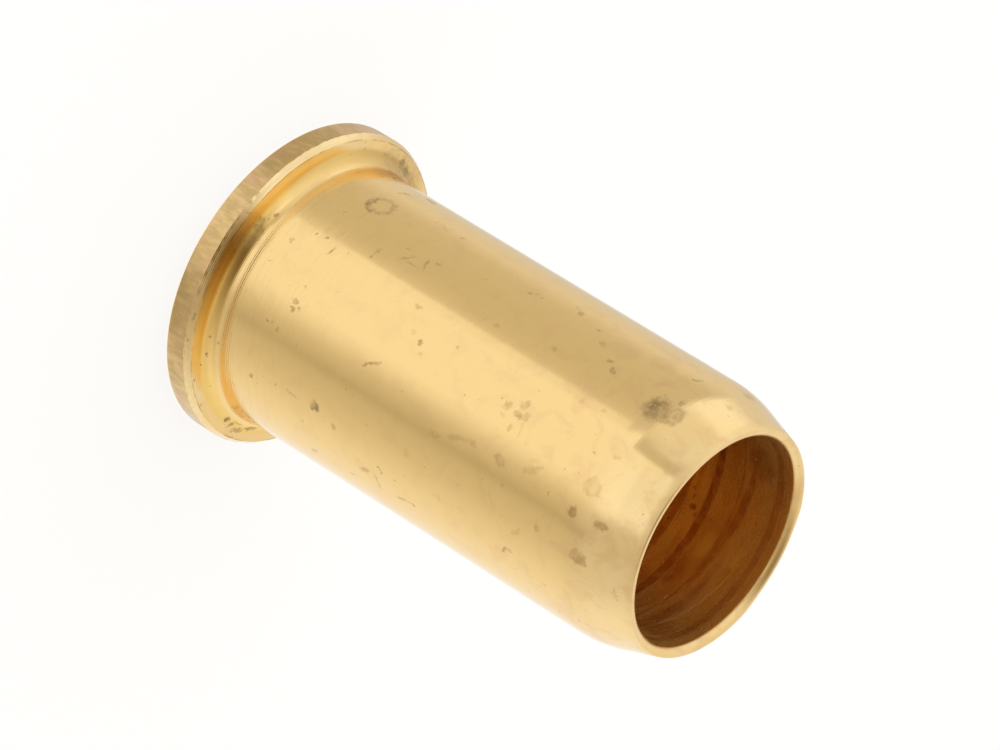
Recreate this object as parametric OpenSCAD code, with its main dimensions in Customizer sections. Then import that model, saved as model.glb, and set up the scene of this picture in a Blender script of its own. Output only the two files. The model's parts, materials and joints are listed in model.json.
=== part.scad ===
// Pipe insert: a turned brass liner that slides into the end of a soft pipe
// and keeps it round under the ring of a compression fitting.
// Units are millimetres. It stands on its flange at z = 0, nose up along +Z.

/* [Tube] */
// overall length, back of the flange to the tip of the nose
insert_l = 16.2; // [13:0.1:24]
// outside diameter of the plain tube, what the pipe slides over
tube_d = 7.9; // [6:0.05:8.4]
// wall between the tube's outside and the through bore
wall = 0.8; // [0.5:0.05:1.4]

/* [Flange] */
// outside diameter of the flange, left as drawn bar
flange_d = 9.6; // [9.4:0.05:12]
// thickness of the flange, back face to pipe stop face
flange_t = 0.88; // [0.6:0.02:1.6]
// height of the chamfer on the flange's front edge
rim_chamfer_h = 0.19; // [0.05:0.01:0.3]
// width of that chamfer across the front face
rim_chamfer_w = 0.12; // [0.05:0.01:0.16]
// fillet between the stop face and the tube, the radius of the tool's tip
root_r = 0.45; // [0.2:0.01:0.5]
// broken edge round the back of the flange
back_break = 0.08; // [0.02:0.01:0.2]

/* [Nose] */
// length of the lead-in taper
taper_l = 1.6; // [1:0.05:4]
// wall that the taper would leave at the tip before the lip is rounded
tip_wall = 0.28; // [0.15:0.01:0.45]
// how far the rounded shoulder reaches each way from the taper's corner
shoulder_l = 0.6; // [0.1:0.05:0.75]
// angle left where the shoulder's arc runs out into tube and taper, in degrees
shoulder_runout = 1; // [0.5:0.5:3]
// angle left where the round lip runs out into taper and bore, in degrees
lip_runout = 8; // [4:1:20]

/* [Bore] */
// countersink of the bore at the flange end, in height and in width
mouth_chamfer = 0.2; // [0.05:0.01:0.4]

/* [Hidden] */
$fn = 96;
brass = [0.85, 0.70, 0.38];

// how far a cutting shape runs past what it cuts
over = 1;

tube_r = tube_d / 2;
bore_r = tube_r - wall;
flange_r = flange_d / 2;

// where the taper's line meets the tube's, and its slope against the axis
taper_z = insert_l - taper_l;
taper_angle = atan((wall - tip_wall) / taper_l);

// the disc that rounds the shoulder: how far its centre lies from tube and taper,
// and its two ends, seen from the corner where those lines meet
shoulder_depth = shoulder_l / tan(taper_angle / 2);
shoulder_foot = [0, -shoulder_l];
shoulder_head = [-shoulder_l * sin(taper_angle), shoulder_l * cos(taper_angle)];

// the disc that rounds the lip reaches the tip and lies as far from the bore as
// from the taper
lip_r = tip_wall * cos(taper_angle)
      / (cos(lip_runout) * (1 + cos(taper_angle)) - sin(taper_angle));
lip_depth = lip_r * cos(lip_runout);

// the flange's half section, from the bore out to the rim
module flange_section() {
    polygon([
        [bore_r, 0],
        [flange_r - back_break, 0],
        [flange_r, back_break],
        [flange_r, flange_t - rim_chamfer_h],
        [flange_r - rim_chamfer_w, flange_t],
        [bore_r, flange_t]
    ]);
}

// the corner left by the round tip of the turning tool
module root_fillet() {
    difference() {
        translate([bore_r, flange_t])
            square([tube_r + root_r - bore_r, root_r]);
        translate([tube_r + root_r, flange_t + root_r])
            circle(r = root_r);
    }
}

// the wall of tube and taper, with its corners still sharp
module wall_section() {
    polygon([
        [bore_r, 0],
        [tube_r, 0],
        [tube_r, taper_z],
        [bore_r + tip_wall, insert_l],
        [bore_r, insert_l]
    ]);
}

// what is turned off the corner between tube and taper
module shoulder_cut() {
    translate([tube_r, taper_z])
        difference() {
            polygon([
                shoulder_foot,
                shoulder_foot + [over, 0],
                shoulder_head + over * [cos(taper_angle), sin(taper_angle)],
                shoulder_head
            ]);
            translate([-shoulder_depth, 0] + shoulder_foot)
                circle(r = shoulder_depth / cos(shoulder_runout));
        }
}

// what is turned off the tip to leave a round lip
module lip_cut() {
    translate([bore_r, insert_l])
        translate([lip_depth, -lip_r])
            difference() {
                polygon([
                    [0, 0],
                    [-over, 0],
                    [-over, over],
                    [over, over],
                    over * [cos(taper_angle), sin(taper_angle)]
                ]);
                circle(r = lip_r);
            }
}

// what the countersink takes off the bore's lower edge
module mouth_cut() {
    polygon([
        [bore_r - over, -over],
        [bore_r + mouth_chamfer + over, -over],
        [bore_r, mouth_chamfer],
        [bore_r - over, mouth_chamfer]
    ]);
}

module insert() {
    color(brass)
        rotate_extrude()
            difference() {
                union() {
                    flange_section();
                    root_fillet();
                    wall_section();
                }
                mouth_cut();
                shoulder_cut();
                lip_cut();
            }
}

insert();
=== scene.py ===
# Pipe insert: a brass liner turned in one piece, standing on its flange with its
# nose up. Metres throughout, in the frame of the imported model.
import json
import math

import bpy
from mathutils import Matrix, Vector


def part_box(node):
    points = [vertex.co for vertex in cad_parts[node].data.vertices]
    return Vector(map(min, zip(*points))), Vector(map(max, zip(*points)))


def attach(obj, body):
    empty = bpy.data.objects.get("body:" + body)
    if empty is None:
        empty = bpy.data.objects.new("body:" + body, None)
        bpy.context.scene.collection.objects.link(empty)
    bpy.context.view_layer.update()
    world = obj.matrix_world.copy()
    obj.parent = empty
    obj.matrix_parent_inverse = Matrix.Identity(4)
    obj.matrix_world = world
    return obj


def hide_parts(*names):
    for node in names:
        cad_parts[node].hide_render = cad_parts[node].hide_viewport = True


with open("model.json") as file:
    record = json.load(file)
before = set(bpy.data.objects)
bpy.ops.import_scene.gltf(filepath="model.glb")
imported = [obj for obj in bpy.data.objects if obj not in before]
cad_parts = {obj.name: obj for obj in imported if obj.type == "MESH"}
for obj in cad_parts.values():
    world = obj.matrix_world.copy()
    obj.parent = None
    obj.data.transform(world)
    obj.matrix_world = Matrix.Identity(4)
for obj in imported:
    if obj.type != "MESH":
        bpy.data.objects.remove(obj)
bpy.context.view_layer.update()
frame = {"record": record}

scene = bpy.context.scene
scene.view_settings.view_transform = "Standard"


# ---------------------------------------------------------------- camera
# A long macro lens looks down on the insert from a third of the way up and is rolled
# on its side, so that the nose points to the lower right of the frame.
MM = 0.001
camera_place = Vector((0.0, -154.892, 104.203)) * MM
camera_azimuth = math.radians(0.288)
camera_elevation = math.radians(31.96)
camera_roll = math.radians(121.68)

lens = bpy.data.cameras.new("macro_lens")
lens.lens = 240.811
lens.sensor_width = 36.0
lens.clip_start = 10 * MM
lens.clip_end = 5.0
camera = bpy.data.objects.new("camera", lens)
camera.matrix_world = (
    Matrix.Translation(camera_place)
    @ Matrix.Rotation(camera_azimuth, 4, "Z")
    @ Matrix.Rotation(math.pi / 2 - camera_elevation, 4, "X")
    @ Matrix.Rotation(camera_roll, 4, "Z")
)
scene.collection.objects.link(camera)
scene.camera = camera


# ---------------------------------------------------------------- insert
# One length of brass bar, turned, bored through and parted off. Only the flange's rim
# still has the drawn skin of the bar.
low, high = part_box("insert")
mounts = {m["name"]: m for m in frame["record"]["mounts"]}

insert_sizes = {
    "Length": high.z - low.z,
    "Tube Radius": mounts["tube"]["dims"]["r_mm"] * MM,
    "Bore Radius": mounts["bore"]["dims"]["r_mm"] * MM,
    "Flange Radius": (high.x - low.x) / 2,
    "Flange Thickness": mounts["pipe_stop"]["pos_m"][2],
    "Rim Chamfer Height": 0.19 * MM,
    "Rim Chamfer Width": 0.12 * MM,
    "Root Radius": 0.45 * MM,
    "Back Break": 0.08 * MM,
    "Taper Length": 1.6 * MM,
    "Tip Wall": 0.28 * MM,
    "Shoulder Radius": 3.6 * MM,
    "Mouth Chamfer": 0.2 * MM,
    "Lip Outer Radius": 0.05 * MM,
    "Lip Inner Radius": 0.235 * MM,
    "Edge Radius": 0.012 * MM,
    "Row Pitch": 0.3 * MM,
    "Burr": 0.055 * MM,
    "Bore Wave": 0.006 * MM,
    "Lip Wear": 0.07 * MM,
}
insert_steps_round = 440
burr_seed = 7.0


def add_node(tree, kind, **settings):
    """A node of that kind, with its properties set from the keywords."""
    node = tree.nodes.new(kind)
    for name, value in settings.items():
        setattr(node, name, value)
    return node


def feed(tree, socket, value):
    """Joins an output socket to an input, or writes a plain value into it."""
    if isinstance(value, bpy.types.NodeSocket):
        tree.links.new(value, socket)
    else:
        socket.default_value = value


def math_node(tree, operation, *values):
    """The result of a Math node on numbers or sockets."""
    node = add_node(tree, "ShaderNodeMath", operation=operation)
    for socket, value in zip(node.inputs, values):
        feed(tree, socket, value)
    return node.outputs[0]


def vector_math(tree, operation, *values):
    """The result of a Vector Math node: a vector, or a number for a length."""
    node = add_node(tree, "ShaderNodeVectorMath", operation=operation)
    for socket, value in zip(node.inputs, values):
        feed(tree, socket, value)
    return node.outputs["Value" if operation in ("LENGTH", "DISTANCE") else "Vector"]


turning = bpy.data.node_groups.new("turn_insert", "GeometryNodeTree")
turning.interface.new_socket("Geometry", in_out="OUTPUT", socket_type="NodeSocketGeometry")
for name, size in insert_sizes.items():
    socket = turning.interface.new_socket(name, in_out="INPUT", socket_type="NodeSocketFloat")
    socket.default_value = size
# the turned outside is finished in stretches, which end at these heights in millimetres
stretch_ends = (1.4, 6.2, 10.8, 20.0)
stretch_names = [f"Turned Brass {n + 1}" for n in range(len(stretch_ends))]
for name in (*stretch_names, "Bar Skin", "Bore Oxide"):
    turning.interface.new_socket(name, in_out="INPUT", socket_type="NodeSocketMaterial")
given = add_node(turning, "NodeGroupInput").outputs


def turning_node(kind, settings=None, **inputs):
    """A node of the turning tree; underscores in the inputs' names stand for spaces."""
    node = add_node(turning, kind, **(settings or {}))
    for name, value in inputs.items():
        feed(turning, node.inputs[name.replace("_", " ")], value)
    return node


def turning_math(operation, *values):
    """The result of a Math node of the turning tree."""
    return math_node(turning, operation, *values)


def sum_of(*terms):
    """The sum of named sizes; a minus sign before a name takes it away."""
    total = 0.0
    for term in terms:
        operation = "SUBTRACT" if term.startswith("-") else "ADD"
        total = turning_math(operation, total, given[term.lstrip("-")])
    return total


# the half section's sharp corners: how far out, how far up, and the rounding of each
corners = [
    (("Bore Radius", "Mouth Chamfer"), (), "Edge Radius"),
    (("Flange Radius",), (), "Back Break"),
    (("Flange Radius",), ("Flange Thickness", "-Rim Chamfer Height"), "Edge Radius"),
    (("Flange Radius", "-Rim Chamfer Width"), ("Flange Thickness",), "Edge Radius"),
    (("Tube Radius",), ("Flange Thickness",), "Root Radius"),
    (("Tube Radius",), ("Length", "-Taper Length"), "Shoulder Radius"),
    (("Bore Radius", "Tip Wall"), ("Length",), "Lip Outer Radius"),
    (("Bore Radius",), ("Length",), "Lip Inner Radius"),
    (("Bore Radius",), ("Mouth Chamfer",), "Edge Radius"),
]
rounding_steps = {
    "Edge Radius": 3,
    "Back Break": 5,
    "Root Radius": 16,
    "Shoulder Radius": 10,
    "Lip Outer Radius": 5,
    "Lip Inner Radius": 10,
}
corner_index = turning_node("GeometryNodeInputIndex").outputs[0]


def by_corner(values, data_type):
    """A field that gives each corner its own value."""
    switch = turning_node("GeometryNodeIndexSwitch", {"data_type": data_type})
    while len(switch.index_switch_items) < len(values):
        switch.index_switch_items.new()
    for socket, value in zip(switch.inputs, (corner_index, *values)):
        feed(turning, socket, value)
    return switch.outputs[0]


corner_places = [
    turning_node("ShaderNodeCombineXYZ", X=sum_of(*out), Z=sum_of(*up)).outputs[0]
    for out, up, _ in corners
]
dots = turning_node("GeometryNodeMeshLine", {"mode": "OFFSET"}, Count=len(corners))
placed_dots = turning_node(
    "GeometryNodeSetPosition",
    Geometry=dots.outputs[0],
    Position=by_corner(corner_places, "VECTOR"),
)
outline = turning_node("GeometryNodeMeshToCurve", Mesh=placed_dots.outputs[0])
closed = turning_node("GeometryNodeSetSplineCyclic", Geometry=outline.outputs[0], Cyclic=True)
rounded = turning_node(
    "GeometryNodeFilletCurve",
    {"mode": "POLY"},
    Curve=closed.outputs[0],
    Limit_Radius=True,
    Count=by_corner([rounding_steps[rounding] for _, _, rounding in corners], "INT"),
    Radius=by_corner([given[rounding] for _, _, rounding in corners], "FLOAT"),
)

# straight stretches are cut into rows, and all but the shortest get a few cuts more
shortest_cut = 0.09 * MM
extra_cuts = 3.0
here = turning_node("GeometryNodeInputPosition").outputs[0]
next_point = turning_node("GeometryNodeOffsetPointInCurve", Offset=1).outputs["Point Index"]
next_place = turning_node(
    "GeometryNodeFieldAtIndex",
    {"data_type": "FLOAT_VECTOR", "domain": "POINT"},
    Index=next_point,
    Value=here,
).outputs[0]
gap = vector_math(turning, "DISTANCE", here, next_place)
even_cuts = turning_math("FLOOR", turning_math("DIVIDE", gap, given["Row Pitch"]))
edge_cuts = turning_math("MULTIPLY", turning_math("GREATER_THAN", gap, shortest_cut), extra_cuts)
rows = turning_node(
    "GeometryNodeSubdivideCurve",
    Curve=rounded.outputs[0],
    Cuts=turning_math("ADD", even_cuts, edge_cuts),
)


def captured(geometry, kind, name, value):
    """The geometry with a value kept on its points under that name."""
    capture = turning_node("GeometryNodeCaptureAttribute", {"domain": "POINT"}, Geometry=geometry)
    capture.capture_items.new(kind, name)
    feed(turning, capture.inputs[name], value)
    return capture.outputs["Geometry"], capture.outputs[name]


# the section, with its radius and height kept, is turned about the axis
section, section_place = captured(rows.outputs[0], "VECTOR", "Section", here)
turn = turning_node(
    "GeometryNodeCurvePrimitiveCircle",
    {"mode": "RADIUS"},
    Resolution=insert_steps_round,
    Radius=1.0,
)
step_index = turning_node("GeometryNodeInputIndex").outputs[0]
step_angle = turning_math("MULTIPLY", step_index, math.tau / insert_steps_round)
circle, theta = captured(turn.outputs[0], "FLOAT", "Angle", step_angle)
swept = turning_node("GeometryNodeCurveToMesh", Curve=circle, Profile_Curve=section)
radius, _, height = turning_node("ShaderNodeSeparateXYZ", Vector=section_place).outputs
to_x = turning_math("COSINE", theta)
to_y = turning_math("SINE", theta)


def near(value, target, reach):
    """1 where the value lies within reach of the target, else 0."""
    return turning_math("COMPARE", value, target, reach)


def between(value, none, full):
    """Rises softly from 0 to 1 as the value goes from one number to the other."""
    softly = {"interpolation_type": "SMOOTHSTEP"}
    node = turning_node("ShaderNodeMapRange", softly, Value=value, From_Min=none, From_Max=full)
    return node.outputs["Result"]


def noise_round(pitch, shift):
    """Noise from -1 to 1 that runs round the rim and meets itself; pitch in millimetres."""
    rim_radius = 4.8
    place = turning_node(
        "ShaderNodeCombineXYZ",
        X=turning_math("MULTIPLY", to_x, rim_radius / pitch),
        Y=turning_math("MULTIPLY", to_y, rim_radius / pitch),
        Z=shift,
    )
    texture = turning_node("ShaderNodeTexNoise", Vector=place.outputs[0], Scale=1.0, Detail=2.0)
    return turning_math("MULTIPLY", turning_math("SUBTRACT", texture.outputs[0], 0.5), 2.0)


# the tool tears the skin of the bar where the chamfer starts
burr_reach = 0.02 * MM
burr_outward = 0.35  # share of the burr that stands out, next to what stands up
burr_up_pitch = 0.18  # mm from one tear to the next
burr_out_pitch = 0.2
burr_height = sum_of("Flange Thickness", "-Rim Chamfer Height")
on_burr = turning_math(
    "MULTIPLY",
    near(height, burr_height, burr_reach),
    near(radius, given["Flange Radius"], burr_reach),
)
burr = turning_math("MULTIPLY", on_burr, given["Burr"])
burr_up = turning_math("MULTIPLY", burr, noise_round(burr_up_pitch, burr_seed))
burr_out = turning_math(
    "MULTIPLY",
    turning_math("MULTIPLY", burr, burr_outward),
    noise_round(burr_out_pitch, burr_seed + 5),
)

# the drill leaves shallow waves along the bore
bore_reach = 0.0001 * MM
waves_per_mm = 1.1
in_bore = turning_math("LESS_THAN", radius, turning_math("ADD", given["Bore Radius"], bore_reach))
wave = turning_node(
    "ShaderNodeTexNoise",
    {"noise_dimensions": "1D"},
    W=turning_math("DIVIDE", height, MM),
    Scale=waves_per_mm,
    Detail=1.5,
)
bore_wave = turning_math(
    "MULTIPLY",
    turning_math("MULTIPLY", in_bore, given["Bore Wave"]),
    turning_math("SUBTRACT", wave.outputs[0], 0.5),
)

# the lip is worn flat over a stretch at the back, from knocks on the bench
worn_side = math.radians(97)
# where the wear begins and where it is full: by the cosine of the angle from the worn
# side, in millimetres below the tip, and as a share of the wall out from the bore
worn_facing = (0.86, 0.985)
worn_below_tip = (0.7, 0.1)
worn_wall_share = (0.0, 0.9)
facing_wear = turning_math(
    "ADD",
    turning_math("MULTIPLY", to_x, math.cos(worn_side)),
    turning_math("MULTIPLY", to_y, math.sin(worn_side)),
)
below_tip = turning_math("DIVIDE", turning_math("SUBTRACT", given["Length"], height), MM)
wall_share = turning_math(
    "DIVIDE", turning_math("SUBTRACT", radius, given["Bore Radius"]), given["Tip Wall"]
)
wear = given["Lip Wear"]
for share in (
    between(facing_wear, *worn_facing),
    between(below_tip, *worn_below_tip),
    between(wall_share, *worn_wall_share),
):
    wear = turning_math("MULTIPLY", wear, share)

final_radius = turning_math("ADD", radius, turning_math("ADD", burr_out, bore_wave))
final_radius = turning_math("SUBTRACT", final_radius, wear)
final_place = turning_node(
    "ShaderNodeCombineXYZ",
    X=turning_math("MULTIPLY", final_radius, to_x),
    Y=turning_math("MULTIPLY", final_radius, to_y),
    Z=turning_math("ADD", height, burr_up),
)
turned = turning_node(
    "GeometryNodeSetPosition", Geometry=swept.outputs[0], Position=final_place.outputs[0]
)
real = turning_node("GeometryNodeRealizeInstances", Geometry=turned.outputs[0])
smooth = turning_node("GeometryNodeSetShadeSmooth", {"domain": "FACE"}, Geometry=real.outputs[0])


def over_face(value):
    """A point value averaged over each face."""
    settings = {"domain": "FACE", "data_type": "FLOAT"}
    return turning_node("GeometryNodeFieldOnDomain", settings, Value=value).outputs[0]


# faces are finished by their place along the section; the rim and the bore come last
rim_reach = 0.004 * MM
burr_edge_reach = 0.001 * MM
bore_edge_reach = 0.002 * MM
face_radius = over_face(radius)
face_height = over_face(height)
past_tube = turning_math(
    "MAXIMUM", turning_math("SUBTRACT", face_radius, given["Tube Radius"]), 0.0
)
face_along = turning_math("SUBTRACT", face_height, past_tube)
rim_from = turning_math("SUBTRACT", given["Flange Radius"], rim_reach)
rim_below = turning_math("ADD", burr_height, burr_edge_reach)
rim_zone = turning_math(
    "MULTIPLY",
    turning_math("GREATER_THAN", face_radius, rim_from),
    turning_math("LESS_THAN", face_height, rim_below),
)
bore_until = turning_math("ADD", given["Bore Radius"], bore_edge_reach)
bore_zone = turning_math("LESS_THAN", face_radius, bore_until)
zones = [(stretch_names[0], True)]
for name, begins in zip(stretch_names[1:], stretch_ends):
    zones.append((name, turning_math("GREATER_THAN", face_along, begins * MM)))
zones += [("Bar Skin", rim_zone), ("Bore Oxide", bore_zone)]
painted = smooth.outputs[0]
for name, zone in zones:
    painted = turning_node(
        "GeometryNodeSetMaterial", Geometry=painted, Selection=zone, Material=given[name]
    ).outputs[0]
turning.links.new(painted, add_node(turning, "NodeGroupOutput").inputs[0])


# ---- finishes. All three share the brass and read the place on the turned surface.
brass_colour = (0.95, 0.675, 0.29, 1)
grime_colour = (0.25, 0.155, 0.07, 1)
oxide_colour = (0.50, 0.27, 0.09, 1)
rubbed_colour = (0.96, 0.73, 0.38, 1)
pale_face_side_colour = (0.92, 0.72, 0.36, 1)
# painted shade in the fillet corner by the flange, lighter away from the left side and darkest on it
corner_shade_light_side_colour = (0.96, 0.66, 0.205, 1)
corner_shade_colour = (0.84, 0.57, 0.19, 1)
corner_shade_dark_side_colour = (0.70, 0.47, 0.16, 1)
turning_line_colour = (0.68, 0.45, 0.17, 1)
tarnish_colour = (0.80, 0.50, 0.25, 1)

# where each form starts along the rolled-out surface, in millimetres to two places; from
# the rim to the tube the height counts less the way out past the tube
size_mm = {name: size / MM for name, size in insert_sizes.items()}
face_out = size_mm["Flange Radius"] - size_mm["Rim Chamfer Width"] - size_mm["Tube Radius"]
face_starts = round(size_mm["Flange Thickness"] - face_out, 2)
root_starts = round(size_mm["Flange Thickness"] - size_mm["Root Radius"], 2)
tube_starts = round(size_mm["Flange Thickness"] + size_mm["Root Radius"], 2)
nose_starts = round(size_mm["Length"] - size_mm["Taper Length"], 2)
tip = round(size_mm["Length"], 2)
tube_radius_mm = mounts["tube"]["dims"]["r_mm"]


def new_group(name, inputs, outputs):
    """A shader node group with named sockets, and its group input and output nodes."""
    group = bpy.data.node_groups.new(name, "ShaderNodeTree")
    kinds = {float: "NodeSocketFloat", tuple: "NodeSocketVector"}
    for socket_name, value in inputs.items():
        socket = group.interface.new_socket(
            socket_name, in_out="INPUT", socket_type=kinds[type(value)]
        )
        socket.default_value = value
    for socket_name, kind in outputs.items():
        group.interface.new_socket(socket_name, in_out="OUTPUT", socket_type=kinds[kind])
    group_in = add_node(group, "NodeGroupInput")
    group_out = add_node(group, "NodeGroupOutput")
    return group, group_in.outputs, group_out.inputs


def use_group(tree, group, **values):
    """The outputs of a group placed in a material; underscores stand for spaces."""
    node = add_node(tree, "ShaderNodeGroup", node_tree=group)
    for name, value in values.items():
        feed(tree, node.inputs[name.replace("_", " ")], value)
    return node.outputs


def noise(tree, place, scale, detail=2.0, roughness=0.5, distortion=0.0):
    """A noise texture, as its plain value."""
    node = add_node(tree, "ShaderNodeTexNoise")
    feed(tree, node.inputs["Vector"], place)
    node.inputs["Scale"].default_value = scale
    node.inputs["Detail"].default_value = detail
    node.inputs["Roughness"].default_value = roughness
    node.inputs["Distortion"].default_value = distortion
    return node.outputs[0]


def ramp(tree, value, low_end, high_end, low_value=0.0, high_value=1.0, smooth=True):
    """Maps a value from one range to another and stops at both ends."""
    node = add_node(
        tree, "ShaderNodeMapRange", interpolation_type="SMOOTHSTEP" if smooth else "LINEAR"
    )
    feed(tree, node.inputs["Value"], value)
    ends = {"From Min": low_end, "From Max": high_end, "To Min": low_value, "To Max": high_value}
    for socket, number in ends.items():
        feed(tree, node.inputs[socket], number)
    return node.outputs["Result"]


def mix_colours(tree, share, first, second):
    """First colour at share 0, second at share 1."""
    node = add_node(tree, "ShaderNodeMix", data_type="RGBA")
    feed(tree, node.inputs["Factor"], share)
    feed(tree, node.inputs[6], first)
    feed(tree, node.inputs[7], second)
    return node.outputs[2]


# the surface rolled flat, in millimetres: along the section from the flange's rim to
# the nose, and around from the front at the tube's radius
unrolled, given_in, given_out = new_group(
    "surface_rolled_flat",
    {"Position": (0.0, 0.0, 0.0), "Tube Radius": tube_radius_mm},
    {"Flat": tuple, "Along": float, "Turn": float},
)
parts = add_node(unrolled, "ShaderNodeSeparateXYZ")
unrolled.links.new(given_in["Position"], parts.inputs[0])
x_mm, y_mm, z_mm = (math_node(unrolled, "MULTIPLY", s, 1 / MM) for s in parts.outputs)
turn_angle = math_node(unrolled, "ARCTAN2", x_mm, math_node(unrolled, "MULTIPLY", y_mm, -1.0))
x_squared = math_node(unrolled, "MULTIPLY", x_mm, x_mm)
y_squared = math_node(unrolled, "MULTIPLY", y_mm, y_mm)
out_mm = math_node(unrolled, "SQRT", math_node(unrolled, "ADD", x_squared, y_squared))
past_tube = math_node(
    unrolled, "MAXIMUM", math_node(unrolled, "SUBTRACT", out_mm, given_in["Tube Radius"]), 0.0
)
along_mm = math_node(unrolled, "SUBTRACT", z_mm, past_tube)
flat = add_node(unrolled, "ShaderNodeCombineXYZ")
feed(unrolled, flat.inputs[0], along_mm)
feed(unrolled, flat.inputs[1], math_node(unrolled, "MULTIPLY", turn_angle, given_in["Tube Radius"]))
for name, value in (("Flat", flat.outputs[0]), ("Along", along_mm), ("Turn", turn_angle)):
    unrolled.links.new(value, given_out[name])

# fine helical ridges left by the turning tool, one for each turn of the work, with the
# feed in millimetres a turn
turning_feed = 0.07
ridges, given_in, given_out = new_group(
    "turning_ridges",
    {"Along": 0.0, "Turn": 0.0, "Feed": turning_feed, "Unevenness": 0.5},
    {"Height": float},
)
ridge_number = math_node(ridges, "DIVIDE", given_in["Along"], given_in["Feed"])
phase = math_node(
    ridges, "ADD", ridge_number, math_node(ridges, "DIVIDE", given_in["Turn"], math.tau)
)
within = math_node(ridges, "SUBTRACT", math_node(ridges, "FRACT", phase), 0.5)
scallop = math_node(ridges, "MULTIPLY", math_node(ridges, "MULTIPLY", within, within), 4.0)
chance = add_node(ridges, "ShaderNodeTexNoise", noise_dimensions="1D")
chance.inputs["Scale"].default_value = 0.37
chance.inputs["Detail"].default_value = 1.0
feed(ridges, chance.inputs["W"], ridge_number)
uneven = math_node(
    ridges,
    "MULTIPLY",
    chance.outputs[0],
    math_node(ridges, "MULTIPLY", given_in["Unevenness"], 4.0),
)
ridges.links.new(math_node(ridges, "ADD", scallop, uneven), given_out["Height"])

# one dried mark: a patch, or the ring that a drop leaves. The strongest mark so far
# travels from one mark to the next beside the place on the flat surface.
mark, given_in, given_out = new_group(
    "dried_mark",
    {
        "So Far": (0.0, 0.0, 0.0),
        "Centre": (0.0, 0.0, 0.0),
        "Half Size": (0.1, 0.1, 1.0e6),
        "Turned": (0.0, 0.0, 0.0),
        "Hollow": 0.0,
        "Strength": 1.0,
    },
    {"So Far": tuple},
)
split = add_node(mark, "ShaderNodeSeparateXYZ")
feed(mark, split.inputs[0], given_in["So Far"])
to_patch = add_node(mark, "ShaderNodeMapping", vector_type="TEXTURE")
feed(mark, to_patch.inputs["Vector"], given_in["So Far"])
feed(mark, to_patch.inputs["Location"], given_in["Centre"])
feed(mark, to_patch.inputs["Rotation"], given_in["Turned"])
feed(mark, to_patch.inputs["Scale"], given_in["Half Size"])
from_centre = vector_math(mark, "LENGTH", to_patch.outputs[0])
patch = ramp(mark, from_centre, 1.15, 0.55)
hole = math_node(mark, "MULTIPLY", ramp(mark, from_centre, 0.85, 0.5), given_in["Hollow"])
this_mark = math_node(
    mark, "MULTIPLY", math_node(mark, "SUBTRACT", patch, hole), given_in["Strength"]
)
joined = add_node(mark, "ShaderNodeCombineXYZ")
feed(mark, joined.inputs[0], split.outputs[0])
feed(mark, joined.inputs[1], split.outputs[1])
feed(mark, joined.inputs[2], math_node(mark, "MAXIMUM", split.outputs[2], this_mark))
feed(mark, given_out["So Far"], joined.outputs[0])

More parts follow.
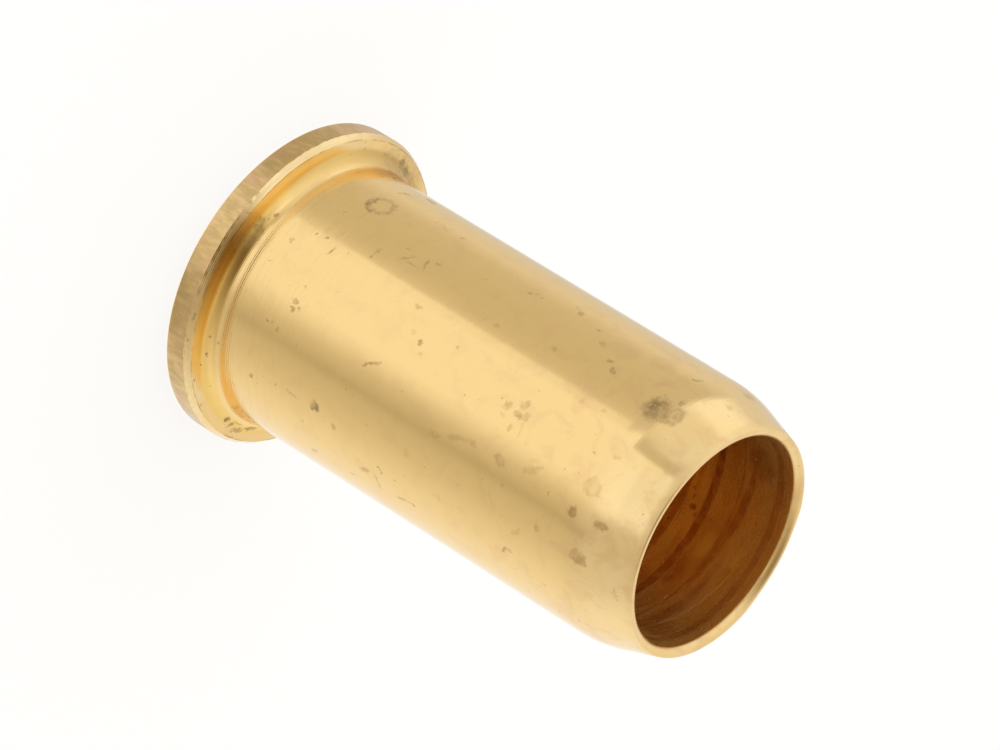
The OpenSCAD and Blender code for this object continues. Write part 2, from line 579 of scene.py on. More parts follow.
# marks: along the axis in mm, round from the front in degrees, half length along and
# half width round in mm, turn in degrees, how hollow, how strong
grime_marks = [
    (0.62, -6, 0.6, 0.6, 0, 0.2, 0.3), (0.98, -8, 0.17, 0.24, 0, 0.7, 0.85),
    (0.74, -11, 0.2, 0.24, 10, 0.3, 0.7), (0.52, -2.5, 0.22, 0.3, -10, 0.2, 0.5),
    (1.05, -18.6, 0.09, 0.09, 0, 0, 0.55), (0.93, -16, 0.05, 0.06, 0, 0, 0.3),
    (0.58, -101.5, 0.17, 0.32, 0, 0.3, 0.92), (0.42, -96, 0.12, 0.22, 0, 0.2, 0.85),
    (0.55, -98, 0.55, 1.4, 0, 0, 0.3), (0.48, -97, 0.2, 0.4, 0, 0.2, 0.7),
    (0.7, -106.5, 0.1, 0.16, 0, 0, 0.6), (0.88, -99, 0.09, 0.2, 0, 0, 0.4),
    (0.6, 86.5, 0.12, 0.14, 0, 0, 0.85),
    (0.5, 90.5, 0.18, 0.07, 35, 0, 0.55), (0.42, 95.5, 0.08, 0.3, -20, 0, 0.5),
    (0.58, 103.5, 0.08, 0.34, -12, 0, 0.6), (0.66, 94, 0.06, 0.22, 10, 0, 0.36),
    (0.16, 93, 0.05, 0.22, 0, 0, 0.5), (0.02, 28.5, 0.06, 0.14, 10, 0, 0.5),
    (-0.05, 37.5, 0.05, 0.09, 0, 0, 0.4), (0.84, 38, 0.06, 0.06, 0, 0, 0.6),
    (0.77, 46.2, 0.05, 0.05, 0, 0, 0.75), (0.49, 50.5, 0.05, 0.06, 0, 0, 0.75),
    (0.22, 55.5, 0.05, 0.05, 0, 0, 0.5), (0.24, 68.2, 0.05, 0.05, 0, 0, 0.45),
    (1.15, 39.5, 0.05, 0.05, 0, 0, 0.5), (0.4, -70, 0.05, 0.06, 0, 0, 0.4),
    (0.6, -62, 0.05, 0.05, 0, 0, 0.35), (0.45, -83, 0.06, 0.08, 0, 0, 0.4),
    (3.9, 118, 0.2, 0.16, 10, 0.4, 0.45), (8.2, 134, 0.1, 0.09, 0, 0, 0.5),
    (12.6, 109, 0.26, 0.2, -15, 0.5, 0.4), (6.1, 168, 0.34, 0.07, 25, 0, 0.35),
    (10.4, -158, 0.12, 0.14, 0, 0, 0.45), (2.6, -171, 0.11, 0.08, 0, 0, 0.5),
    (13.4, -119, 0.3, 0.24, 0, 0.3, 0.42), (7.1, -127, 0.16, 0.1, 40, 0, 0.4),
    (4.7, -142, 0.09, 0.09, 0, 0, 0.5), (3.05, -49.5, 0.44, 0.46, 0, 1, 0.62),
    (2.74, -48.5, 0.13, 0.3, 0, 0, 0.6), (2.95, -43.9, 0.2, 0.08, 30, 0, 0.5),
    (3.43, -48.5, 0.07, 0.16, 0, 0, 0.35), (3.3, -76, 0.25, 0.14, 30, 0, 0.5),
    (2.85, -67.5, 0.08, 0.13, 20, 0, 0.5), (2.76, -64, 0.05, 0.14, 0, 0, 0.35),
    (3.22, 6.3, 0.12, 0.09, 0, 0, 0.5), (3.23, 9.8, 0.09, 0.1, 0, 0, 0.75),
    (3.45, 8.2, 0.07, 0.09, 0, 0, 0.4), (2, -13.4, 0.07, 0.12, -20, 0, 0.35),
    (2.5, -21, 0.08, 0.08, 0, 0, 0.4), (2.81, -21.6, 0.09, 0.05, 0, 0, 0.45),
    (3.2, -18, 0.05, 0.13, 5, 0, 0.55), (3.7, -21, 0.07, 0.05, 0, 0, 0.3),
    (4.3, -24.8, 0.06, 0.1, 0, 0, 0.4), (4.33, -28, 0.06, 0.16, 0, 0, 0.25),
    (2.6, 19.3, 0.08, 0.05, 0, 0, 0.3), (3.05, 20.5, 0.09, 0.06, 0, 0, 0.4),
    (2.8, 18.4, 0.05, 0.04, 0, 0, 0.3), (4.91, 41.4, 0.21, 0.18, 20, 0, 0.68),
    (2.48, 45.6, 0.09, 0.09, 0, 0, 0.6), (3.43, 42.6, 0.06, 0.04, 0, 0, 0.3),
    (4.05, 42, 0.32, 0.03, 3, 0, 0.3), (5.12, -33, 0.28, 0.05, -50, 0, 0.3),
    (4.9, -37, 0.1, 0.06, 0, 0, 0.25), (5.45, -31.3, 0.22, 0.05, -5, 0, 0.33),
    (5.72, -34.6, 0.24, 0.05, -118, 0, 0.42), (5.98, -38, 0.08, 0.06, 0, 0, 0.3),
    (8.57, -50.8, 0.07, 0.08, 0, 0, 0.45), (8.7, -52.6, 0.09, 0.06, 0, 0, 0.3),
    (8.92, -52.8, 0.07, 0.06, 0, 0, 0.3), (10.95, -53.4, 0.09, 0.1, 0, 0, 0.3),
    (11.45, -47.2, 0.16, 0.09, 20, 0, 0.25), (12.1, -41, 0.11, 0.09, 20, 0, 0.4),
    (12.43, -38, 0.16, 0.1, 30, 0, 0.5), (8.82, -28, 0.12, 0.1, 0, 0, 0.2),
    (10.65, -32.5, 0.1, 0.08, 0, 0, 0.25), (6.6, -17.4, 0.18, 0.04, 0, 0, 0.3),
    (8.36, -11.6, 0.07, 0.07, 0, 0, 0.3), (7.4, 51.4, 0.08, 0.06, 40, 0, 0.5),
    (7.52, 53, 0.06, 0.07, 0, 0, 0.45), (7.25, 60, 0.06, 0.33, -18, 0, 0.3),
    (8.25, 61.3, 0.42, 0.06, -15, 0, 0.32), (8.63, 60.4, 0.07, 0.1, 0, 0, 0.4),
    (4.72, 67.3, 0.24, 0.05, -42, 0, 0.3), (6.25, 66.5, 0.24, 0.05, -25, 0, 0.28),
    (12.07, 52.2, 0.07, 0.16, 30, 0, 0.5), (12.24, 51, 0.12, 0.06, 10, 0, 0.35),
    (14.28, -33.6, 0.4, 0.5, 0, 0, 0.55), (14.18, -34.5, 0.24, 0.3, 0, 0, 0.72),
    (14.62, -43, 0.09, 0.16, 0, 0, 0.4), (14.15, -59.6, 0.08, 0.2, 20, 0, 0.4),
    (11.65, 25.8, 0.1, 0.06, 0, 0, 0.25),
]
oxide_marks = [
    (6.18, 13, 0.16, 0.06, -38, 0, 0.55), (6.36, 11.4, 0.16, 0.06, -34, 0, 0.6),
    (6.53, 9.9, 0.12, 0.05, -40, 0, 0.5), (7.33, -5.3, 0.11, 0.06, -62, 0, 0.65),
    (7.55, -1.8, 0.07, 0.08, 0, 0, 0.25), (5.5, -59.4, 0.08, 0.12, 0, 0, 0.4),
    (4.5, -60, 0.04, 0.14, 0, 0, 0.3), (5.66, 45, 0.12, 0.09, -30, 0, 0.45),
    (4.46, 52.4, 0.08, 0.07, 0, 0, 0.3), (6.78, 57.6, 0.28, 0.12, -28, 0, 0.42),
    (10.06, -56.6, 0.2, 0.09, 40, 0, 0.45), (9.85, -58.8, 0.2, 0.06, 40, 0, 0.25),
    (11.17, -6.2, 0.18, 0.17, 0, 0, 0.34), (11.15, -1.8, 0.2, 0.11, 0, 0, 0.5),
    (11.42, -2.6, 0.12, 0.14, 0, 0, 0.34), (10.76, -2.8, 0.12, 0.15, 20, 0, 0.3),
    (11.15, 4.4, 0.08, 0.13, 0, 0, 0.3), (11.47, 3, 0.04, 0.3, -6, 0, 0.22),
    (10.74, 1.4, 0.1, 0.06, 0, 0, 0.18), (9.9, 18.4, 0.5, 0.11, -18, 0, 0.25),
    (10.35, 17.2, 0.13, 0.08, 0, 0, 0.35), (9.1, 22.6, 0.22, 0.08, -15, 0, 0.22),
    (11.3, 17.2, 0.24, 0.16, 20, 0, 0.34), (12.3, 14, 0.28, 0.16, -25, 0, 0.24),
    (12.57, 11.4, 0.16, 0.06, -20, 0, 0.36), (14.04, 19.2, 0.2, 0.17, 20, 0, 0.75),
    (14.95, 18.9, 0.24, 0.13, 0, 0, 0.6), (14.58, 35.2, 0.28, 0.25, 0, 0, 0.55),
    (14.8, 37, 0.12, 0.12, 0, 0, 0.5), (14.25, 6.8, 0.3, 0.26, 20, 0.6, 0.42),
    (14.38, -7.6, 0.16, 0.08, 0, 0, 0.22), (14.8, -35, 0.26, 0.46, 15, 0.2, 0.62),
    (13.12, 33.6, 0.13, 0.09, 0, 0, 0.35), (12.45, 40, 0.26, 0.08, -48, 0, 0.2),
    (15.35, -60, 0.14, 0.14, 0, 0, 0.25), (14.97, -80, 0.16, 0.36, 0, 0, 0.4),
    (15.75, 46, 0.08, 0.28, -20, 0, 0.25), (4.86, -58.4, 0.28, 0.1, 20, 0, 0.15),
    (13.2, -21, 0.1, 0.07, 0, 0, 0.18), (12.5, -19.3, 0.14, 0.07, 0, 0, 0.15),
    (8.35, 36, 0.14, 0.16, 0, 0, 0.14), (6.95, -7.6, 0.1, 0.06, 0, 0, 0.2),
]


def all_marks(tree, place_flat, marks):
    """The strongest of the listed marks at each place."""
    so_far = vector_math(tree, "MULTIPLY", place_flat, (1.0, 1.0, 0.0))
    # a mark that reaches past the back goes on from the other end of the flat surface,
    # unless its half width in millimetres says that it runs all round
    all_round = 20
    degrees_per_mm = 20
    over_back = [
        (along, around - math.copysign(360, around), half_long, half_wide, *rest)
        for along, around, half_long, half_wide, *rest in marks
        if half_wide < all_round and abs(around) + degrees_per_mm * half_wide > 180
    ]
    for along, around, half_long, half_wide, turn, hollow, strength in marks + over_back:
        so_far = use_group(
            tree,
            mark,
            So_Far=so_far,
            Centre=(along, math.radians(around) * tube_radius_mm, 0.0),
            Half_Size=(half_long, half_wide, 1.0e6),
            Turned=(0.0, 0.0, math.radians(turn)),
            Hollow=float(hollow),
            Strength=strength,
        )["So Far"]
    split = add_node(tree, "ShaderNodeSeparateXYZ")
    feed(tree, split.inputs[0], so_far)
    return split.outputs[2]


def start_finish(name):
    """A metal material, with its Principled shader and the place on the surface."""
    finish = bpy.data.materials.new(name)
    finish.use_nodes = True
    tree = finish.node_tree
    shader = tree.nodes["Principled BSDF"]
    shader.inputs["Metallic"].default_value = 1.0
    position = add_node(tree, "ShaderNodeTexCoord").outputs["Object"]
    return finish, tree, shader, position, use_group(tree, unrolled, Position=position)


def scaled(tree, position, x, y, z):
    """The position in millimetres, stretched along each axis."""
    return vector_math(tree, "MULTIPLY", position, (x / MM, y / MM, z / MM))


def wandered(tree, place_noise, place_flat, scale, detail, roughness, reach):
    """The place on the flat surface, shifted a little so that marks get ragged edges."""
    wander = add_node(tree, "ShaderNodeTexNoise")
    feed(tree, wander.inputs["Vector"], place_noise)
    wander.inputs["Scale"].default_value = scale
    wander.inputs["Detail"].default_value = detail
    wander.inputs["Roughness"].default_value = roughness
    shift = vector_math(tree, "SUBTRACT", wander.outputs["Color"], (0.5, 0.5, 0.5))
    return vector_math(tree, "ADD", place_flat, vector_math(tree, "MULTIPLY", shift, reach))


def stretch_marks(tree, in_mm, place, begins, ends):
    """How strong grime and oxide are, from the marks that reach into this stretch."""
    wandering = wandered(tree, in_mm, place["Flat"], 5.5, 3.0, 0.6, (0.3, 0.3, 0.0))
    speckle = ramp(tree, noise(tree, in_mm, 6.0, 3.0, 0.6), 0.36, 0.6, 0.5, 1.0)
    margin = 0.4  # mm, more than a ragged edge wanders
    strengths = []
    for marks in (grime_marks, oxide_marks):
        reaching = [
            m
            for m in marks
            if m[0] + m[2] + m[3] > begins - margin and m[0] - m[2] - m[3] < ends + margin
        ]
        strengths.append(math_node(tree, "MULTIPLY", all_marks(tree, wandering, reaching), speckle))
    return strengths


def painted_corner_shade(tree, place):
    """The share and the colour of painted shade in the fillet corner by the flange, darkest on the
    left side.
    """
    share = math_node(
        tree,
        "MULTIPLY",
        ramp(tree, place["Along"], root_starts - 0.09, root_starts + 0.09),
        ramp(tree, place["Along"], tube_starts - 0.08, root_starts + 0.12),
    )
    side = math_node(tree, "SINE", place["Turn"])
    corner_shade = mix_colours(tree, ramp(tree, side, -0.56, -0.38), corner_shade_colour, corner_shade_light_side_colour)
    corner_shade = mix_colours(tree, ramp(tree, side, -0.86, -0.985), corner_shade, corner_shade_dark_side_colour)
    return share, corner_shade


def face_paler_at_sides(tree, place):
    """How much paler the face is, which is most to the left and right."""
    sideways = math_node(tree, "ABSOLUTE", math_node(tree, "SINE", place["Turn"]))
    left_and_right = math_node(
        tree, "MULTIPLY", ramp(tree, sideways, 0.2, 0.4), ramp(tree, sideways, 0.97, 0.84)
    )
    on_face = ramp(tree, place["Along"], root_starts + 0.07, root_starts - 0.07)
    return math_node(tree, "MULTIPLY", on_face, left_and_right)


def turning_lines(tree, position, place, polished):
    """Tarnish held by the turning lines, broken up round the work."""
    lines = add_node(tree, "ShaderNodeTexNoise", noise_dimensions="1D")
    feed(tree, lines.inputs["W"], place["Along"])
    lines.inputs["Scale"].default_value = 9.0
    lines.inputs["Detail"].default_value = 2.0
    lines.inputs["Roughness"].default_value = 0.75
    lined = math_node(tree, "MULTIPLY", ramp(tree, lines.outputs[0], 0.46, 0.68), polished)
    broken = ramp(tree, noise(tree, scaled(tree, position, 1, 1, 4), 1.3, 2.0), 0.4, 0.6)
    return math_node(tree, "MULTIPLY", lined, broken)


def turned_ridges(tree, position, place, polished):
    """Turning ridges and chatter, rubbed down away from the flange, on the bar's waves."""
    ridge_height = use_group(
        tree,
        ridges,
        Along=place["Along"],
        Turn=place["Turn"],
        Feed=turning_feed,
        Unevenness=0.9,
    )["Height"]
    chatter = noise(tree, scaled(tree, position, 1, 1, 3), 3.2, 2.0, 0.55)
    waves = noise(tree, scaled(tree, position, 1, 1, 1), 0.8, 2.0, 0.5)
    height_sum = math_node(
        tree,
        "ADD",
        math_node(tree, "MULTIPLY", ridge_height, 1.8),
        math_node(tree, "MULTIPLY", chatter, 3.0),
    )
    height_sum = math_node(tree, "MULTIPLY", height_sum, polished)
    return math_node(tree, "ADD", height_sum, math_node(tree, "MULTIPLY", waves, 4.0))


def add_bump(tree, shader, height, depth):
    """Raises the surface by a height map; depth is in metres for a height of 1."""
    bump = add_node(tree, "ShaderNodeBump")
    bump.inputs["Distance"].default_value = depth
    feed(tree, bump.inputs["Height"], height)
    tree.links.new(bump.outputs[0], shader.inputs["Normal"])


polished_roughness = 0.085
ridge_depth = 0.0006 * MM


def turned_finish(name, begins, ends):
    """Turned brass, with the marks that lie between two places along the section."""
    finish, tree, shader, position, place = start_finish(name)
    in_mm = scaled(tree, position, 1, 1, 1)
    grime, oxide = stretch_marks(tree, in_mm, place, begins, ends)
    # painted shade: the fillet corner between tube and face is darkened, most on the left side
    corner, corner_shade = painted_corner_shade(tree, place)
    # the face is paler to the left and right
    colour = mix_colours(tree, face_paler_at_sides(tree, place), brass_colour, pale_face_side_colour)
    colour = mix_colours(tree, corner, colour, corner_shade)
    # the chamfer and the nose are rubbed pale, in patches
    cloud = noise(tree, in_mm, 0.9, 3.0, 0.6)
    rubbed = math_node(
        tree,
        "MAXIMUM",
        ramp(tree, place["Along"], face_starts, face_starts - 0.05),
        ramp(tree, place["Along"], nose_starts - 1.0, nose_starts + 0.8, 0.0, 0.6),
    )
    rubbed = math_node(tree, "MULTIPLY", rubbed, ramp(tree, cloud, 0.35, 0.55, 0.25, 1.0))
    colour = mix_colours(tree, rubbed, colour, rubbed_colour)
    # tarnish lies in the fine corner between chamfer and face
    from_crease = math_node(
        tree, "ABSOLUTE", math_node(tree, "SUBTRACT", place["Along"], face_starts)
    )
    creased = math_node(
        tree,
        "MULTIPLY",
        ramp(tree, from_crease, 0.035, 0.012),
        ramp(tree, noise(tree, in_mm, 1.6, 3.0, 0.6), 0.42, 0.6, 0.0, 0.7),
    )
    colour = mix_colours(tree, creased, colour, oxide_colour)
    # handling has rubbed the turning lines down away from the flange
    polished = ramp(tree, place["Along"], 1.6, 5.6, 1.0, 0.12)
    lined = math_node(tree, "MULTIPLY", turning_lines(tree, position, place, polished), 0.17)
    colour = mix_colours(tree, lined, colour, turning_line_colour)
    # faint handling tarnish, stronger towards the nose, and fine specks all over
    toward_nose = ramp(tree, place["Along"], 8.0, 14.0, 0.45, 1.0)
    tarnish = math_node(
        tree,
        "MULTIPLY",
        ramp(tree, noise(tree, in_mm, 1.5, 4.0, 0.62, 0.6), 0.47, 0.68),
        toward_nose,
    )
    colour = mix_colours(tree, math_node(tree, "MULTIPLY", tarnish, 0.36), colour, tarnish_colour)
    specks = ramp(tree, noise(tree, in_mm, 3.6, 3.0, 0.7), 0.66, 0.72)
    specks = math_node(tree, "MULTIPLY", specks, ramp(tree, cloud, 0.48, 0.62, 0.0, 0.4))
    oxide = math_node(tree, "MAXIMUM", oxide, specks)
    colour = mix_colours(tree, oxide, colour, oxide_colour)
    colour = mix_colours(tree, grime, colour, grime_colour)
    tree.links.new(colour, shader.inputs["Base Color"])

    # polished brass, duller under tarnish and dirt, under the painted corner shade, at the tube's
    # foot and the lip
    dirt = math_node(tree, "MAXIMUM", grime, oxide)
    foot = tube_starts + 0.03
    from_foot = math_node(tree, "ABSOLUTE", math_node(tree, "SUBTRACT", place["Along"], foot))
    duller_by = {
        "tarnish": math_node(tree, "MULTIPLY", tarnish, 0.06),
        "corner_shade": math_node(tree, "MULTIPLY", corner, 0.05),
        "dirt": math_node(tree, "MULTIPLY", dirt, 0.3),
        "lip": ramp(tree, place["Along"], tip - 0.35, tip - 0.1, 0.0, 0.24),
        "foot": ramp(tree, from_foot, 0.28, 0.08, 0.0, 0.13),
    }
    rough = polished_roughness
    for more in duller_by.values():
        rough = math_node(tree, "ADD", rough, more)
    tree.links.new(rough, shader.inputs["Roughness"])
    metal = math_node(tree, "SUBTRACT", 1.0, math_node(tree, "MULTIPLY", dirt, 0.35))
    tree.links.new(metal, shader.inputs["Metallic"])
    add_bump(tree, shader, turned_ridges(tree, position, place, polished), ridge_depth)
    return finish


# turned brass: tube, nose, flange face and chamfer, one shader for each stretch
insert_finishes = {}
begins = -5.0
for name, ends in zip(stretch_names, stretch_ends):
    insert_finishes[name] = turned_finish(name.lower().replace(" ", "_"), begins, ends)
    begins = ends

# bar skin: the rim, as the bar was drawn, dull and streaked along the axis
bar_dark_colour = (0.62, 0.415, 0.175, 1)
bar_light_colour = (0.78, 0.55, 0.25, 1)
bar_red_colour = (0.72, 0.43, 0.25, 1)
bar_olive_colour = (0.52, 0.39, 0.16, 1)
bar_skin, tree, shader, position, place = start_finish("bar_skin")
streaks = noise(tree, scaled(tree, position, 1, 1, 0.25), 6.0, 4.0, 0.65)
patches = noise(tree, scaled(tree, position, 1, 1, 1), 1.1, 3.0, 0.6)
shade = math_node(
    tree,
    "ADD",
    math_node(tree, "MULTIPLY", streaks, 0.6),
    math_node(tree, "MULTIPLY", patches, 0.4),
)
colour = mix_colours(tree, ramp(tree, shade, 0.38, 0.62), bar_dark_colour, bar_light_colour)
blotches = noise(tree, scaled(tree, position, 1, 1, 0.7), 1.7, 3.0, 0.6)
colour = mix_colours(tree, ramp(tree, blotches, 0.5, 0.64, 0.0, 0.6), colour, bar_red_colour)
colour = mix_colours(tree, ramp(tree, blotches, 0.46, 0.34, 0.0, 0.5), colour, bar_olive_colour)
tree.links.new(colour, shader.inputs["Base Color"])
tree.links.new(ramp(tree, streaks, 0.35, 0.65, 0.30, 0.24), shader.inputs["Roughness"])
drawing_depth = 0.0022 * MM
add_bump(tree, shader, streaks, drawing_depth)

# bore oxide: the bore, browned and banded by the drill
bore_dark_marks = [
    (13.5, 0, 0.15, 40, 0, 0, 0.85), (14.55, -165, 0.16, 3.2, -4, 0, 0.6),
    (14.75, 120, 0.2, 4, 0, 0, 0.5), (15.62, 0, 0.14, 40, 0, 0, 0.5),
    (14.32, 0, 0.05, 40, 0, 0, 0.4), (12.6, 0, 0.2, 40, 0, 0, 0.7), (10.9, 0, 0.35, 40, 0, 0, 0.5),
    (8.2, 0, 0.5, 40, 0, 0, 0.45), (5.1, 0, 0.3, 40, 0, 0, 0.5), (2.6, 0, 0.45, 40, 0, 0, 0.4),
    (13.7, 158, 0.42, 0.8, 10, 0, 0.5), (13.2, 146, 0.4, 0.5, 0, 0, 0.35),
    (13.1, -171, 0.13, 0.13, 0, 0, 1), (12.93, -161.5, 0.07, 0.08, 0, 0, 0.9),
    (13, -166, 0.05, 0.1, 0, 0, 0.7), (13.3, -174, 0.06, 0.1, 0, 0, 0.6),
    (14.9, -128, 0.5, 0.9, 0, 0, 0.45), (15.2, 118, 0.5, 0.8, 0, 0, 0.45),
    (9.4, 40, 0.2, 0.3, 0, 0.3, 0.7), (4.2, -60, 0.3, 0.2, 0, 0, 0.7),
    (6.9, 95, 0.14, 0.2, 0, 0, 0.7),
]
bore_light_marks = [
    (14.04, 176, 0.26, 0.75, 0, 0, 0.25), (15.1, 176, 0.17, 0.26, 10, 0, 0.34),
    (14.84, 175, 0.1, 0.03, 20, 0, 0.75), (15.15, -178, 0.14, 0.6, 0, 0, 0.25),
    (15.08, 145, 0.025, 2.3, -5, 0, 0.8), (13.99, 135.5, 0.05, 0.05, 0, 0, 1),
    (14.25, 141, 0.04, 0.06, 0, 0, 1), (15.35, -134, 0.05, 0.05, 0, 0, 1),
    (14.7, -128, 0.04, 0.05, 0, 0, 0.9), (13.6, -128, 0.04, 0.04, 0, 0, 0.9),
    (14.5, 117, 0.04, 0.05, 0, 0, 1), (15.1, -165, 0.03, 0.9, 8, 0, 0.3),
    (13, 168, 0.2, 0.6, 0, 0, 0.2), (7.6, 20, 0.03, 2.6, 7, 0, 0.6),
    (3.3, 150, 0.03, 2, -6, 0, 0.6),
]
bore_brown_colour = (0.86, 0.48, 0.10, 1)
bore_ochre_colour = (1.0, 0.72, 0.24, 1)
deep_bore_colour = (0.55, 0.31, 0.10, 1)
burnt_colour = (0.50, 0.165, 0.02, 1)
ochre_patch_colour = (1.0, 0.74, 0.20, 1)
scratch_colour = (1.0, 0.78, 0.38, 1)
bore_oxide, tree, shader, position, place = start_finish("bore_oxide")
in_mm = scaled(tree, position, 1, 1, 1)
wandering = wandered(
    tree, scaled(tree, position, 1, 1, 0.6), place["Flat"], 2.2, 4.0, 0.5, (0.13, 0.4, 0.0)
)
bands = noise(tree, scaled(tree, position, 0.22, 0.22, 1), 1.9, 5.0, 0.7, 0.4)
colour = mix_colours(tree, ramp(tree, bands, 0.38, 0.60), bore_brown_colour, bore_ochre_colour)
deep = ramp(tree, place["Along"], 10.5, 5.0, 0.0, 0.6)
colour = mix_colours(tree, deep, colour, deep_bore_colour)
dark = math_node(
    tree,
    "MULTIPLY",
    all_marks(tree, wandering, bore_dark_marks),
    ramp(tree, noise(tree, in_mm, 2.6, 3.0), 0.35, 0.6, 0.6, 1.0),
)
colour = mix_colours(tree, dark, colour, burnt_colour)
# weak light marks are ochre patches, strong ones are scratches down to the metal
light = all_marks(tree, wandering, bore_light_marks)
ochre_patch = math_node(tree, "MULTIPLY", ramp(tree, light, 0.0, 0.35), 0.8)
colour = mix_colours(tree, ochre_patch, colour, ochre_patch_colour)
bare = ramp(tree, light, 0.45, 0.8)
colour = mix_colours(tree, bare, colour, scratch_colour)
tree.links.new(colour, shader.inputs["Base Color"])
shader.inputs["Metallic"].default_value = 0.85
rough = ramp(tree, bands, 0.36, 0.64, 0.34, 0.2)
rough = math_node(tree, "ADD", rough, math_node(tree, "MULTIPLY", bare, 0.15))
tree.links.new(rough, shader.inputs["Roughness"])
drill_feed = 0.11
drill_depth = 0.0015 * MM
drill_ridges = use_group(
    tree, ridges, Along=place["Along"], Turn=place["Turn"], Feed=drill_feed, Unevenness=0.8
)["Height"]
add_bump(tree, shader, drill_ridges, drill_depth)

# the blank takes its sizes and finishes, is turned once and becomes a plain mesh
insert_finishes["Bar Skin"] = bar_skin
insert_finishes["Bore Oxide"] = bore_oxide

blank = bpy.data.objects.new("insert_blank", bpy.data.meshes.new("insert_blank"))
scene.collection.objects.link(blank)
lathe = blank.modifiers.new("turn", "NODES")
lathe.node_group = turning
blank_inputs = {**insert_sizes, **insert_finishes}
for item in turning.interface.items_tree:
    if item.in_out == "INPUT":
        lathe[item.identifier] = blank_inputs[item.name]
bpy.context.view_layer.update()
evaluated = blank.evaluated_get(bpy.context.evaluated_depsgraph_get())
insert_mesh = bpy.data.meshes.new_from_object(evaluated)
insert_mesh.name = "turned_insert"
bpy.data.objects.remove(blank)
insert = bpy.data.objects.new("turned_insert", insert_mesh)
scene.collection.objects.link(insert)

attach(insert, "root")
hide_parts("insert")


# ---------------------------------------------------------------- floor
# A pale matt table top that runs out of view on all sides. It shows almost white and
# keeps the soft shadow of the insert.
floor_reach = 2.0
floor_drop = 0.01 * MM  # keeps the floor clear of the flange's flat back
floor_white = 0.8  # glow that the lens sees, so that the insert's shade stays soft
floor_paint = 0.3  # grey of the paint, lit by the tent

floor_mesh = bpy.data.meshes.new("floor")
floor_mesh.from_pydata(
    [
        (x * floor_reach, y * floor_reach, -floor_drop)
        for x, y in ((-1, -1), (1, -1), (1, 1), (-1, 1))
    ],
    [],
    [(0, 1, 2, 3)],
)
floor = bpy.data.objects.new("floor", floor_mesh)
floor.visible_glossy = False
scene.collection.objects.link(floor)

# painted shade: a darker disc with a dim warm glow of its own stands for the insert's own shade on
# the table seen down the bore
shade_reach = 4.5 * MM
shade_corners = 64
shade_glow = 0.27
shade_mesh = bpy.data.meshes.new("shaded_table")
shade_mesh.from_pydata(
    [
        (
            shade_reach * math.cos(math.tau * n / shade_corners),
            shade_reach * math.sin(math.tau * n / shade_corners),
            -floor_drop / 2,
        )
        for n in range(shade_corners)
    ],
    [],
    [tuple(range(shade_corners))],
)
shaded_table = bpy.data.objects.new("shaded_table", shade_mesh)
scene.collection.objects.link(shaded_table)


def table_paint(name, mesh, glow_colour):
    """Matt pale paint with a glow of its own; gives back its nodes and its shader."""
    paint = bpy.data.materials.new(name)
    paint.use_nodes = True
    mesh.materials.append(paint)
    shader = paint.node_tree.nodes["Principled BSDF"]
    shader.inputs["Base Color"].default_value = (floor_paint, floor_paint, floor_paint, 1)
    shader.inputs["Roughness"].default_value = 1.0
    shader.inputs["Specular IOR Level"].default_value = 0.0
    shader.inputs["Emission Color"].default_value = glow_colour
    return paint.node_tree, shader


tree, shader = table_paint("pale_table_top", floor_mesh, (1, 1, 1, 1))
camera_sees = add_node(tree, "ShaderNodeLightPath").outputs["Is Camera Ray"]
glow = math_node(tree, "MULTIPLY", camera_sees, floor_white)
feed(tree, shader.inputs["Emission Strength"], glow)

# the shaded round ends a view or a single reflection, and lets pass the light that
# comes up the bore over several
tree, shader = table_paint("shaded_table_top", shade_mesh, (1.0, 0.86, 0.66, 1))
shader.inputs["Emission Strength"].default_value = shade_glow
bounces = add_node(tree, "ShaderNodeLightPath").outputs["Glossy Depth"]
feed(tree, shader.inputs["Alpha"], ramp(tree, bounces, 3.0, 1.0, smooth=False))


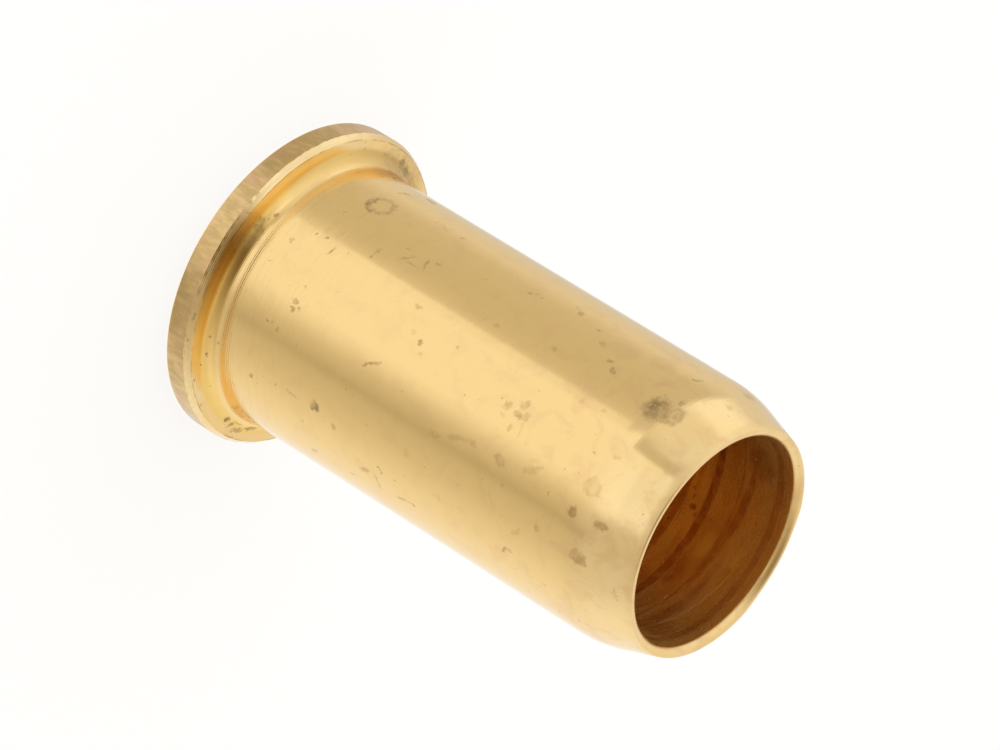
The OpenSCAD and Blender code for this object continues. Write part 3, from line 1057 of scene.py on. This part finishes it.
# ---------------------------------------------------------------- studio light
# A white light tent, open in front where the lens looks in, with grey strips on both
# sides of the opening. The polished metal shows it all round.
# Each ring lies at one elevation and gives the tent's tone by azimuth, both in degrees,
# 0 in front and 90 to the right.
tent_rings = {
    -44: [
        (-180, 1.0), (-160, 0.71), (-144, 0.75), (-126, 0.79), (-108, 0.68), (-80, 0.655),
        (-72, 0.66), (-63, 0.70), (-59, 0.77), (-54, 1.0), (7, 1.0), (16, 0.90), (28, 0.70),
        (38, 0.62), (47, 0.54), (56, 0.63), (72, 0.70), (88, 0.81), (104, 0.90), (124, 0.96),
    ],
    -34: [
        (-180, 1.0), (-160, 0.71), (-144, 0.75), (-126, 0.79), (-108, 0.68), (-80, 0.655),
        (-64, 0.66), (-54, 0.70), (-48, 0.77), (-45, 1.03), (12, 1.03), (20, 0.93), (32, 0.72),
        (40, 0.64), (48, 0.555), (56, 0.64), (72, 0.71), (88, 0.81), (104, 0.90), (124, 0.96),
    ],
    -25: [
        (-180, 1.0), (-160, 0.71), (-144, 0.75), (-126, 0.79), (-108, 0.68), (-80, 0.655),
        (-57, 0.65), (-46, 0.69), (-41, 0.75), (-36, 0.99), (14, 1.0), (22, 0.90), (33, 0.70),
        (41, 0.63), (48, 0.55), (56, 0.63), (72, 0.70), (88, 0.80), (104, 0.89), (124, 0.95),
    ],
    -15: [
        (-180, 1.0), (-160, 0.71), (-144, 0.75), (-126, 0.79), (-108, 0.68), (-80, 0.655),
        (-58, 0.66), (-48, 0.70), (-43, 0.77), (-38, 1.03), (14, 1.03), (22, 0.93), (33, 0.72),
        (41, 0.64), (48, 0.555), (56, 0.64), (72, 0.71), (88, 0.81), (104, 0.90), (124, 0.96),
    ],
    -11: [
        (-180, 1.0), (-140, 0.74), (-119, 0.92), (-108, 1.04), (-88, 1.05), (-76, 0.88), (-50, 0.86),
        (-42, 0.80), (-37, 0.66), (-29, 0.66), (-26, 1.0), (16, 1.06), (24, 0.96), (31, 0.68),
        (48, 0.66), (62, 0.71), (80, 0.76), (104, 0.92), (119, 0.98), (150, 1.0),
    ],
    4: [
        (-180, 0.95), (-140, 0.76), (-119, 0.94), (-108, 1.04), (-88, 1.05), (-76, 0.88), (-50, 0.86),
        (-38, 0.80), (-34, 0.66), (-28, 0.66), (-25, 1.0), (18, 1.06), (26, 0.96), (32, 0.70),
        (48, 0.67), (62, 0.71), (80, 0.76), (104, 0.92), (119, 0.98), (150, 1.0),
    ],
    14: [
        (-180, 0.95), (-119, 0.90), (-108, 1.0), (-60, 0.95), (-46, 0.88), (-31, 0.62),
        (-16, 0.55), (16, 0.60), (31, 0.66), (46, 0.56), (61, 0.58), (75, 0.62), (88, 0.75),
        (101, 0.86), (114, 0.92), (150, 0.95),
    ],
    32: [
        (-180, 0.88), (-108, 0.95), (-60, 1.0), (-48, 1.15), (-38, 1.08), (-26, 0.72),
        (-12, 0.34), (0, 0.18), (12, 0.17), (24, 0.24), (36, 0.36), (48, 0.46), (60, 0.54),
        (72, 0.66), (84, 0.80), (96, 0.90), (110, 0.95),
    ],
    58: [
        (-180, 0.85), (-110, 0.92), (-73, 1.02), (-57, 0.97), (-40, 0.66), (-20, 0.40),
        (0, 0.18), (20, 0.26), (57, 0.46), (72, 0.56), (90, 0.62), (110, 0.70), (150, 0.8),
    ],
    77: [(-180, 0.7), (-90, 0.9), (-45, 0.6), (0, 0.22), (45, 0.4), (90, 0.58), (150, 0.65)],
    86: [(-180, 0.5), (-90, 0.32), (0, 0.22), (90, 0.34), (150, 0.5)],
}
# how much faster green and blue fall off in the greys, below and above this elevation
warmth_below = (1.0, 1.12, 1.35)
warmth_above = (1.0, 1.2, 1.6)
warm_from = 10

studio = bpy.data.worlds.new("light_tent")
scene.world = studio
studio.use_nodes = True
studio.cycles.sampling_method = "NONE"  # even light all round needs no aimed rays
sky = studio.node_tree
way = add_node(sky, "ShaderNodeSeparateXYZ")
sky.links.new(add_node(sky, "ShaderNodeTexCoord").outputs["Generated"], way.inputs[0])
to_right, to_back, up = way.outputs
azimuth = math_node(sky, "ARCTAN2", to_right, math_node(sky, "MULTIPLY", to_back, -1.0))
round_share = math_node(sky, "ADD", math_node(sky, "DIVIDE", azimuth, math.tau), 0.5)
elevation = math_node(sky, "ARCSINE", up)

tone = None
for ring_elevation, stops in tent_rings.items():
    ring = add_node(sky, "ShaderNodeValToRGB")
    ring.color_ramp.interpolation = "LINEAR"
    stops_made = ring.color_ramp.elements
    while len(stops_made) < len(stops) + 1:
        stops_made.new(1.0)
    warmth = warmth_above if ring_elevation > warm_from else warmth_below
    for stop, (ring_azimuth, ring_tone) in zip(stops_made, stops + [(180, stops[0][1])]):
        stop.position = ring_azimuth / 360 + 0.5
        stop.color = (*(ring_tone ** w for w in warmth), 1)
    sky.links.new(round_share, ring.inputs[0])
    if tone is not None:
        climb = add_node(sky, "ShaderNodeMapRange", interpolation_type="LINEAR")
        feed(sky, climb.inputs["Value"], elevation)
        climb.inputs["From Min"].default_value = math.radians(last_elevation)
        climb.inputs["From Max"].default_value = math.radians(ring_elevation)
        blend_rings = add_node(sky, "ShaderNodeMix", data_type="RGBA")
        sky.links.new(climb.outputs["Result"], blend_rings.inputs["Factor"])
        sky.links.new(tone, blend_rings.inputs[6])
        sky.links.new(ring.outputs[0], blend_rings.inputs[7])
        tone = blend_rings.outputs[2]
    else:
        tone = ring.outputs[0]
    last_elevation = ring_elevation

seen = add_node(sky, "ShaderNodeLightPath")
behind = add_node(sky, "ShaderNodeMix", data_type="RGBA")
sky.links.new(seen.outputs["Is Camera Ray"], behind.inputs["Factor"])
sky.links.new(tone, behind.inputs[6])
behind.inputs[7].default_value = (1, 1, 1, 1)
sky.links.new(behind.outputs[2], sky.nodes["Background"].inputs["Color"])
